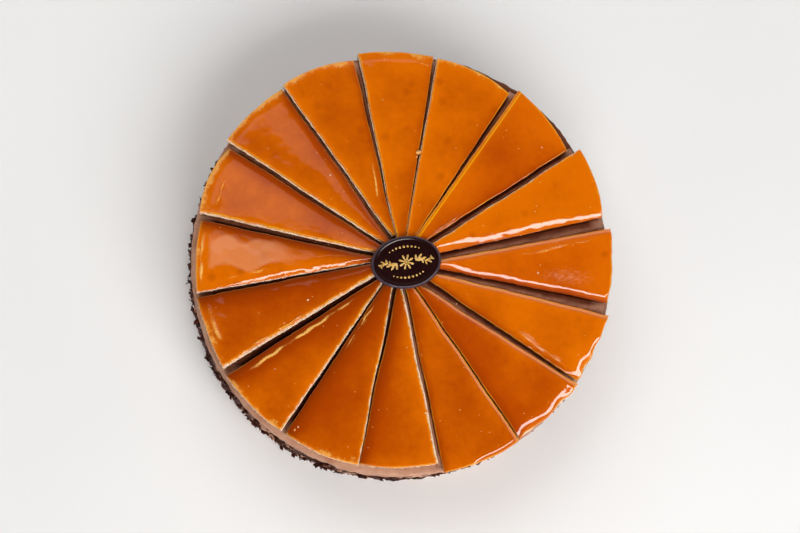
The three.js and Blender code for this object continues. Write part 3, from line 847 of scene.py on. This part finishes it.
def glazeRelief(grid, own):
    # thickness less the falls toward the edges, the bow of the whole slice and a small lip, plus
    # slow waves where the glaze ran
    counter, clockwise, rimKind = (caramel[own[side]] for side in ("counter", "clockwise", "rim"))
    share, reach, wide, flat = grid.share, grid.reach, grid.wide, grid.flat
    narrowing = 1 + own["taper"] * (1 - 2 * reach)
    fall = edgeFall(counter, grid.left, wide) * grown(reach, *own["counterFade"])
    fall += (edgeFall(clockwise, grid.right, wide, narrowing)
             * grown(reach, *own["clockwiseFade"]))
    fall += edgeFall(rimKind, grid.rim, 1000) * grown(share, *own["rimFade"])
    fall = np.minimum(fall, caramel["deepestFall"])
    bowFrom, bow = own["crown"]
    fall += bow * np.maximum(0, (share - bowFrom) / (1 - bowFrom)) ** 2
    fall += own["tilt"] * (share - 0.5) * wide
    waves = own["wave"] * (ripple(flat, 34, 71) + 0.25 * ripple(flat, 9, 72))
    waves += own["drip"] * ripple(flat, 13, 73) * np.exp(-grid.rim / 3.5)
    waves *= np.clip(grid.nearest / 3, 0.25, 1)
    lipIn, lipDown = caramel["lip"]
    lip = lipDown * (1 - np.sqrt(1 - np.maximum(0, 1 - grid.nearest / lipIn) ** 2))
    return caramel["thickness"] - fall + waves - lip


def wrinkles(grid, own):
    # ridges whose distance from an edge runs from first to last between start and end: their
    # relief, and how strongly they show thin and carry a painted glint
    knots = np.clip(0.95 + 0.5 * ripple(grid.flat, 14, 75), 0.35, 1.4)
    wander = 0.3 * ripple(grid.flat, 9, 78)
    relief, crest, shine = np.zeros((3, *grid.share.shape))
    sides = {"clockwise": (grid.right, grid.reach), "counter": (grid.left, grid.reach),
             "rim": (grid.rim, grid.share)}
    for side, (first, last), (start, end), height, thick, bright in own["wrinkles"]:
        away, run = sides[side]
        part = (run - start) / (end - start)
        faded = np.clip(4 * part, 0, 1) * np.clip(4 * (1 - part), 0, 1)
        line = first + (last - first) * part + wander
        ridge = faded * knots * np.exp(-((away - line) / thick) ** 2)
        relief += height * ridge
        crest += ridge
        shine += bright * ridge
    return relief, crest, shine


def paintedReflectionArea(grid, area):
    # a smooth-edged window in share and reach for the painted warm reflection
    if not area:
        return 0 * grid.share
    firstShare, lastShare, firstReach, lastReach = area
    wavy = grid.share + 0.05 * ripple(grid.flat, 22, 79)
    return (grown(wavy, firstShare, firstShare + 0.04) * grown(wavy, lastShare, lastShare - 0.1)
            * grown(grid.reach, firstReach, firstReach + 0.25)
            * grown(grid.reach, lastReach, lastReach - 0.03))


def glazeMarks(grid, own, number, crest, shine):
    # thinness is 1 at plain edges, dull 1 where the gloss is lost, and the painted light and shade
    # lightens the raised edge with painted light and the rim where the glaze thins, and darkens the
    # low one with painted shade
    left, right, rim = grid.left, grid.right, grid.rim
    style = caramel[own["counter"]][0]
    rounded = [caramel[own[side]][2] > 1.2 for side in ("counter", "clockwise")]
    plain = np.minimum(np.minimum(left + 9 * rounded[0], right * 2 + 9 * rounded[1]), rim)
    paintedLightAndShade = np.maximum(np.exp(-left / 4) * (not rounded[0]), np.exp(-rim / 7))
    # painted shade beside the low edge: how dark, and how far in
    darkness, darkWidth = own["shade"]
    paintedLowEdgeShade = darkness * np.exp(-right / darkWidth)
    # a painted highlight: a thin yellow line inside the raised edge
    paintedHighlightLine = (own["paintedHighlightLine"] > 0) * np.exp(-((left - own["paintedHighlightLine"]) / 0.45) ** 2)
    # worn patches, rougher and carrying a painted sheen
    wornSheen = 0 * left
    for atShare, atReach, overShare, overReach, amount in own["wornSheenPatches"]:
        blob = (((grid.share - atShare) / overShare) ** 2
                + ((grid.reach - atReach) / overReach) ** 2)
        wornSheen += amount * np.exp(-blob)
    return {
        # the crests and the highlight line add painted glints to the thin edge colour
        "thinness": np.clip(1 - plain / 2.6, 0, 1) ** 1.3 + 0.5 * crest + 1.6 * paintedHighlightLine,
        "dull": np.clip(1 - plain / 0.9, 0, 1),
        "paintedLightAndShade": paintedLightAndShade - paintedLowEdgeShade,
        "paintedLowEdgeShade": np.clip(0.3 * paintedLowEdgeShade - 0.1, 0, 0.8),
        # painted reflection just inside a shouldered raised edge
        "sheen": 0.75 * (style == "step") * np.exp(-((left - 1.1) / 0.5) ** 2),
        "shine": shine,
        "pale": paintedReflectionArea(grid, own["pale"]),
        "frost": own["frost"] * np.clip(1.1 - rim / 5.5, 0, 1),
        "wornSheen": wornSheen,
        "along": grid.reach * grid.length * mm + 0.3 * number,
        "aside": left * mm,
        "tone": own["tone"] + 0 * left,
        "blush": own["blush"] + 0 * left,
    }


def caramelSlice(number, look):
    # the glaze's relief over the sponge, wrinkled where it was pushed
    own = {**caramel["plain"], **caramel["slices"][number]}
    grid = GlazeGrid(number, own)
    relief, crest, shine = wrinkles(grid, own)
    height = grid.bed + np.maximum(glazeRelief(grid, own) + relief, caramel["thinnest"])
    slab("caramel", number, look, grid.flat, height, grid.bed, caramel["steps"],
         lambda depth, ring: np.full(len(ring), caramel["swollen"] * math.sin(math.pi * depth)),
         glazeMarks(grid, own, number, crest, shine), 70)


caramelMaterial = caramelLook()
for number in range(1, sliceCount + 1):
    caramelSlice(number, caramelMaterial)
print("caramel poured")


plaque = {
    "halfLength": 20.8, "halfWidth": 15.5, "thickness": 3.0,
    "x": 0.4, "y": -2.3, "turn": 10.0,
    "shoulder": (1.7, 1.6),  # how far in and down it is rounded
    "foot": 0.6, "sunkFace": 0.28, "around": 200,
    "colour": tint(32, 10, 10),
    "bloom": tint(40, 15, 15),
    # painted reflection on the bevel
    "bevel": tint(72, 60, 70),
    "gold": tint(222, 170, 72),
}

ornament = {
    "relief": 0.16, "lift": 0.02,
    # of each ring of petals: how many, how far out, and their half length and half width
    "petals": [(8, 3.3, 1.25, 0.62), (8, 1.6, 0.75, 0.5), (1, 0, 0.7, 0.7)],
    "stem": (5.4, 16.0), "swing": 1.3,  # from and to this far out
    "leafPairs": 6, "leafAngle": 0.75, "leafLength": (3.4, 1.8),
    # an arc of beads on an ellipse with these half axes, between two angles
    "beads": 9, "beadArc": (14.2, 9.1), "beadAngles": (52, 128), "beadSize": (0.42, 0.7),
}


def plaqueLook():
    # dark chocolate, with a painted purple-grey reflection on the bevel round its face
    look = Look("plaqueChocolate", **{"Specular IOR Level": 0.4})
    clouds = look.noise(9, 3, 0.6)
    grain = look.noise(0.6, 2, 0.6)
    colour = clouds.step(0.4, 0.7).paint(plaque["colour"], plaque["bloom"])
    # painted reflection on the bevel
    colour = look.attribute("bevel").paint(colour, plaque["bevel"])
    relief = look.bump(grain, 0.04, 0.4)
    return look.finish(Base_Color=colour, Roughness=0.1 + 0.1 * clouds, Normal=relief)


def placed(points, bottom):
    # from the plaque's own axes to the torte's
    turn = math.radians(plaque["turn"])
    x = points[..., 0] * math.cos(turn) - points[..., 1] * math.sin(turn) + plaque["x"]
    y = points[..., 0] * math.sin(turn) + points[..., 1] * math.cos(turn) + plaque["y"]
    return np.stack([x, y, points[..., 2] + bottom], -1)


def chocolatePlaque():
    # a profile of (reach, height) with a rounded foot and shoulder and a shallow raised border,
    # carried round an ellipse
    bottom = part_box("plaque")[0][2] / mm
    half, thick, face = plaque["halfLength"], plaque["thickness"], plaque["sunkFace"]
    (inward, down), foot, around = plaque["shoulder"], plaque["foot"], plaque["around"]
    arc = np.linspace(0, math.pi / 2, 9)
    reach = np.concatenate([
        [half - 3], half - foot + foot * np.sin(arc), half - inward + inward * np.cos(arc),
        half - np.array([2.2, 2.6, 3.0, 3.5, 5, 9, 14, 18])])
    rise = np.concatenate([
        [0], foot - foot * np.cos(arc), thick - down + down * np.sin(arc),
        thick - np.array([0.02, 0.1, 0.22, 0.3, 0.3, face, face, face])])
    angle = np.linspace(0, 2 * math.pi, around, endpoint=False)
    wide = np.maximum(reach - half + plaque["halfWidth"], reach * plaque["halfWidth"] / half)
    rings = np.stack([reach[:, None] * np.cos(angle), wide[:, None] * np.sin(angle),
                      rise[:, None] + 0 * angle], -1)
    points = np.concatenate([rings.reshape(-1, 3), [[0, 0, 0], [0, 0, thick - face]]])
    # where the painted reflection on the bevel goes
    bevel = np.repeat(np.clip((reach - half + inward) / 0.4, 0, 1), around)
    newPiece("chocolatePlaque", placed(points, bottom), shellFaces(len(reach), around),
             plaqueLook(), ["plaque"], 60, {"bevel": np.append(bevel, [0, 0])})
    return bottom + thick - face


def pebbles(centres, radii, turns, ragged=0.0, seed=1):
    # ellipsoids, all on one unit sphere's (latitude, longitude) grid, each with its own three
    # radii and its turn about the vertical in degrees
    rings, around = 7, 16
    latitude = np.linspace(-math.pi / 2, math.pi / 2, rings + 2)[1:-1, None]
    longitude = np.linspace(0, 2 * math.pi, around, endpoint=False)
    ball = np.stack([np.cos(latitude) * np.cos(longitude), np.cos(latitude) * np.sin(longitude),
                     np.sin(latitude) + 0 * longitude], -1).reshape(-1, 3)
    ball = np.concatenate([ball, [[0, 0, -1], [0, 0, 1]]])
    points = ball * radii[:, None]
    points *= 1 + ragged * ripple(points + centres[:, None], 0.9 * radii.mean(), seed)[..., None]
    turn = np.radians(turns)[:, None]
    x = points[..., 0] * np.cos(turn) - points[..., 1] * np.sin(turn)
    y = points[..., 0] * np.sin(turn) + points[..., 1] * np.cos(turn)
    points = np.stack([x, y, points[..., 2]], -1) + centres[:, None]
    each = (np.arange(len(centres)) * len(ball))[:, None, None]
    return points.reshape(-1, 3), [(faces + each).reshape(-1, faces.shape[1])
                                   for faces in shellFaces(rings, around)]


def ribbon(line, widths, height):
    # a strip with bevelled sides along a line in the plaque's plane, as wide as the widths
    step = np.gradient(line, axis=0)
    step /= np.linalg.norm(step, axis=1, keepdims=True)
    side = np.stack([-step[:, 1], step[:, 0]], -1) * widths[:, None] / 2
    corners = [(line + side, 0), (line + side * 0.6, height), (line - side * 0.6, height),
               (line - side, 0)]
    points = np.stack([np.concatenate([at, np.full((len(line), 1), z)], 1)
                       for at, z in corners], 1).reshape(-1, 3)
    ends = np.arange(4) + np.array([[0], [(len(line) - 1) * 4]])
    return points, [gridFaces(len(line), 4, closed=True), ends]


def bits(flat, along, across, turns):
    # low pebbles of the ornament: their places, half lengths, half widths and turns in degrees
    count = len(flat)
    centres = np.append(flat, np.full((count, 1), ornament["lift"]), 1)
    radii = np.stack([along, across, np.full(count, ornament["relief"])], -1)
    return pebbles(centres, radii, turns)


def stem(t, side):
    # rises, dips and rises again on its way out
    first, last = ornament["stem"]
    return np.stack([side * (first + (last - first) * t),
                     side * ornament["swing"] * np.sin(2.2 * math.pi * t)], -1)


def goldOrnament(face):
    # a rosette of two rings of petals round a knob, a leafy sprig that curves away from it on
    # either side, and an arc of beads above and below
    parts = []
    for count, away, long, wide in ornament["petals"]:
        turns = (np.arange(count) + 0.5) * 360 / count
        at = ahead(90 - turns) * away
        parts.append(bits(at, np.full(count, long), np.full(count, wide), turns))
    t = np.linspace(0, 1, 60)
    leafAt = np.linspace(0.03, 0.88, ornament["leafPairs"])
    longest, shortest = ornament["leafLength"]
    leaf = longest - (longest - shortest) * leafAt
    least, most = ornament["beadSize"]
    bead = least + (most - least) * np.sin(np.linspace(0, math.pi, ornament["beads"]))
    for side in (1, -1):
        parts.append(ribbon(stem(t, side), 0.32 + 0.2 * (1 - t), ornament["relief"]))
        base = stem(leafAt, side)
        heading = np.arctan2(*(stem(leafAt + 0.04, side) - base).T[::-1])
        for turn in (ornament["leafAngle"], -ornament["leafAngle"]):
            lean = heading + turn
            middle = base + np.stack([np.cos(lean), np.sin(lean)], -1) * leaf[:, None] / 2
            parts.append(bits(middle, leaf / 2, 0.2 * leaf, np.degrees(lean)))
        angle = side * np.radians(np.linspace(*ornament["beadAngles"], ornament["beads"]))
        at = np.stack([np.cos(angle), np.sin(angle)], -1) * ornament["beadArc"]
        parts.append(bits(at, bead, bead, 0 * bead))
    points, faces = joined(parts)
    look = Look("goldLustre", Metallic=0.35)
    shine = look.noise(1.2, 3, 0.6)
    colour = shine.step(0.35, 0.7).paint(plaque["gold"], tint(255, 214, 140))
    material = look.finish(Base_Color=colour, Roughness=0.38)
    newPiece("goldOrnament", placed(points, face), faces, material, ["plaque"], 60)


plaqueFace = chocolatePlaque()
goldOrnament(plaqueFace)
print("plaque laid on")


crumbs = {
    "shape": [1.0, 0.75, 0.6],  # radii as shares of the size
    # bearing, distance from the centre and size of each bit that lies on the glaze
    "golden": [(7.2, 64.5, 1.6), (6.4, 61.5, 0.6), (212.4, 119, 0.7)],
    "pale": [(95, 79, 0.6), (246, 62, 0.6), (172.5, 91, 0.6), (50, 107, 0.4), (318, 66, 0.5),
             (69, 83, 0.35), (131, 40, 0.35), (28, 92, 0.3), (352, 96, 0.35), (229, 100, 0.3),
             (212, 116.5, 0.6)],
    # and, with its height, of each that doesn't
    "dark": [(126.5, 62, 0.9, 50.2), (325.0, 95, 0.9, 51.5), (124.0, 95, 0.4, 50),
             (14, 122, 1.3, 49), (213.2, 117.6, 0.7, 51), (212.8, 121, 0.6, 50)],
}


def sliceUnder(bearing):
    # the number of the slice at a bearing
    cuts = [cut[0] for cut in fan["cuts"]]
    return np.searchsorted(cuts, bearing) % sliceCount + 1


def looseCrumbs():
    # ragged bits of caramel, chocolate and sponge
    kinds = [("golden", "caramel", "caramel_02", tint(240, 170, 70), tint(255, 214, 150)),
             ("dark", "chocolate", "torte_body", tint(40, 18, 12), tint(70, 34, 22)),
             ("pale", "sponge", "sponge_05", tint(255, 226, 190), tint(240, 190, 140))]
    glaze = torte["height"] + sponge["thickness"] + caramel["thickness"]
    for kind, slot, node, under, over in kinds:
        bearing, away, size, *heights = np.array(crumbs[kind]).T
        flat = ahead(bearing) * away[:, None]
        if not heights:
            rises = [SlicePlan(sliceUnder(toward)).rise(at) for toward, at in zip(bearing, flat)]
            heights = [glaze + np.array(rises) + size * 0.2]
        points, faces = pebbles(np.append(flat, heights[0][:, None], 1),
                                size[:, None] * crumbs["shape"], bearing * 3, 0.22, 5)
        look = Look(f"{kind}Crumbs")
        grain = look.noise(0.8, 3, 0.6)
        material = look.finish(Base_Color=grain.step(0.35, 0.7).paint(under, over), Roughness=0.6)
        newPiece(f"{kind}Crumbs", points, faces, material, [node], 60)


looseCrumbs()
print("crumbs dropped")


studio = {
    # the centre of the torte's rim falls on this pixel of the picture
    "bodyPixel": (403.8, 260.7), "picture": (800, 533),
    "lens": 85.0, "sensor": 36.0, "distance": 1.112, "toward": 215.0, "tilt": 11.0,
    "floor": (tint(246, 246, 247), tint(250, 250, 250)), "floorReach": 6,
    # strength of the air: dim overhead, where the glaze would mirror it, and light low down
    "horizon": (0.1, 0.42), "zenith": (0.85, 0.02),
    "lampColour": (1.0, 0.985, 0.965), "lampsAimAt": 0.05, "nearestSeen": 0.05,
    # bearing, elevation, distance, width, height, radiance and how far each is moved toward
    # bearing + 90, with lengths in metres; the stronger lamp stands in the south
    "lamps": {
        "southLamp": (158, 40, 1.7, 1.5, 1.1, 5.2, 0),
        "northLamp": (338, 50, 1.8, 1.8, 1.4, 2.1, 0),
    },
    # these only show as reflections
    "reflections": {
        "northSoftbox": (20, 24, 1.6, 4.4, 1.0, 0.6, 0),
        "northPane": (0, 69.3, 12.0, 4.2, 1.12, 0.75, 1.86),
        "southStrip": (149, 61, 1.5, 1.5, 0.2, 14.0, 0),
    },
}


def floorPlane():
    look = Look("paleFloor")
    shade = look.noise(300, 2).step(0.2, 0.8)
    material = look.finish(Base_Color=shade.paint(*studio["floor"]), Roughness=0.7)
    mesh = bpy.data.meshes.new("paleFloor")
    far = studio["floorReach"]
    mesh.from_pydata([(-far, -far, 0), (far, -far, 0), (far, far, 0), (-far, far, 0)], [],
                     [(0, 1, 2, 3)])
    mesh.materials.append(material)
    plane = bpy.data.objects.new("paleFloor", mesh)
    bpy.context.scene.collection.objects.link(plane)


def panel(name, bearing, elevation, distance, width, height, radiance, shift):
    # an area light that faces the torte's top; its energy grows with its size, so that
    # `radiance` alone says how bright it looks
    light = bpy.data.lights.new(name, "AREA")
    light.shape = "RECTANGLE"
    light.size, light.size_y = width, height
    light.energy = radiance * math.pi * width * height
    light.color = studio["lampColour"]
    lamp = bpy.data.objects.new(name, light)
    flat = ahead(bearing) * math.cos(math.radians(elevation))
    direction = np.append(flat, math.sin(math.radians(elevation)))
    aside = np.append(ahead(bearing + 90), 0) * shift
    lamp.location = direction * distance + aside + np.array([0, 0, studio["lampsAimAt"]])
    lamp.rotation_euler = mathutils.Vector(direction).to_track_quat("Z", "Y").to_euler()
    bpy.context.scene.collection.objects.link(lamp)
    return lamp


def lighting():
    for name, settings in studio["lamps"].items():
        panel(name, *settings).visible_glossy = False
    for name, settings in studio["reflections"].items():
        panel(name, *settings).visible_diffuse = False
    world = bpy.data.worlds.new("studioAir")
    world.use_nodes = True
    tree = world.node_tree
    background = tree.nodes["Background"]
    background.inputs["Color"].default_value = (1, 1, 1, 1)
    direction = tree.nodes.new("ShaderNodeTexCoord")
    split = tree.nodes.new("ShaderNodeSeparateXYZ")
    fade = tree.nodes.new("ShaderNodeMapRange")
    for end, (height, strength) in (("Min", studio["horizon"]), ("Max", studio["zenith"])):
        fade.inputs[f"From {end}"].default_value = height
        fade.inputs[f"To {end}"].default_value = strength
    tree.links.new(direction.outputs["Generated"], split.inputs["Vector"])
    tree.links.new(split.outputs["Z"], fade.inputs["Value"])
    tree.links.new(fade.outputs["Result"], background.inputs["Strength"])
    bpy.context.scene.world = world


def camera():
    # looks toward a bearing's opposite, tilted from straight down, and is moved aside until the
    # torte's rim is centred on its pixel
    toward, tilt = np.radians(studio["toward"]), np.radians(studio["tilt"])
    back = np.array([np.sin(tilt) * np.sin(toward), np.sin(tilt) * np.cos(toward), np.cos(tilt)])
    right = np.cross([0, 1, 0], back)
    right /= np.linalg.norm(right)
    up = np.cross(back, right)
    width, height = studio["picture"]
    u, v = studio["bodyPixel"]
    pixel = studio["distance"] * studio["sensor"] / studio["lens"] / width
    target = (np.array([0, 0, torte["height"] * mm]) - right * (u - width / 2) * pixel
              - up * (height / 2 - v) * pixel)
    data = bpy.data.cameras.new("camera")
    data.lens, data.sensor_width = studio["lens"], studio["sensor"]
    data.clip_start = studio["nearestSeen"]
    view = bpy.data.objects.new("camera", data)
    matrix = mathutils.Matrix(np.stack([right, up, back], 1).tolist()).to_4x4()
    matrix.translation = mathutils.Vector((target + back * studio["distance"]).tolist())
    view.matrix_world = matrix
    bpy.context.scene.collection.objects.link(view)
    bpy.context.scene.camera = view


floorPlane()
lighting()
camera()
bpy.context.scene.view_settings.view_transform = "Standard"
print("studio set")
